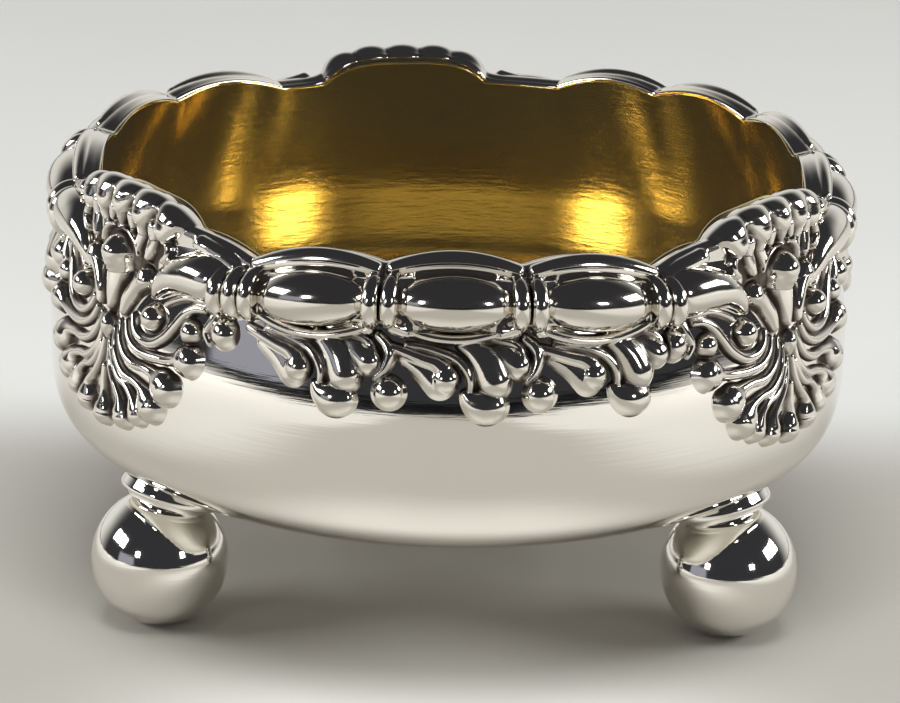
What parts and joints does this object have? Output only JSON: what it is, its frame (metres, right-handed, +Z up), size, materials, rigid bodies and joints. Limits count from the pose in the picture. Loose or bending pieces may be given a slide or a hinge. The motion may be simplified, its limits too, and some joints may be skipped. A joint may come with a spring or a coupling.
{
  "type": "salt cellar",
  "caption": "Open salt cellar: round flat-bellied silver bowl with a gilt inside, a cast border of olive beads, scrolls and shells round its scalloped rim, on ball feet with collars.",
  "frame": {"origin": "on the table, under the bowl's axis", "axes": "+Z up along the bowl's axis, -Y towards the front, where the middle of the front bead run faces, +X to the right"},
  "size_m": [0.0716, 0.0718, 0.0403],
  "materials": {
    "silver": "polished silver with dark tarnish left in the recesses of the castings",
    "gilt": "brushed gilding with fine scratches round the bowl"
  },
  "bodies": {
    "root": {"bowl": "silver", "gilt_lining": "gilt", "bead_border_front": "silver", "bead_border_right": "silver", "bead_border_left": "silver", "shell_front_right": "silver", "shell_back": "silver", "shell_front_left": "silver", "foot_collar_right": "silver", "foot_collar_left": "silver", "foot_collar_back": "silver", "ball_upper_right": "silver", "ball_upper_left": "silver", "ball_upper_back": "silver", "ball_lower_right": "silver", "ball_lower_left": "silver", "ball_lower_back": "silver"}
  },
  "joints": []
}
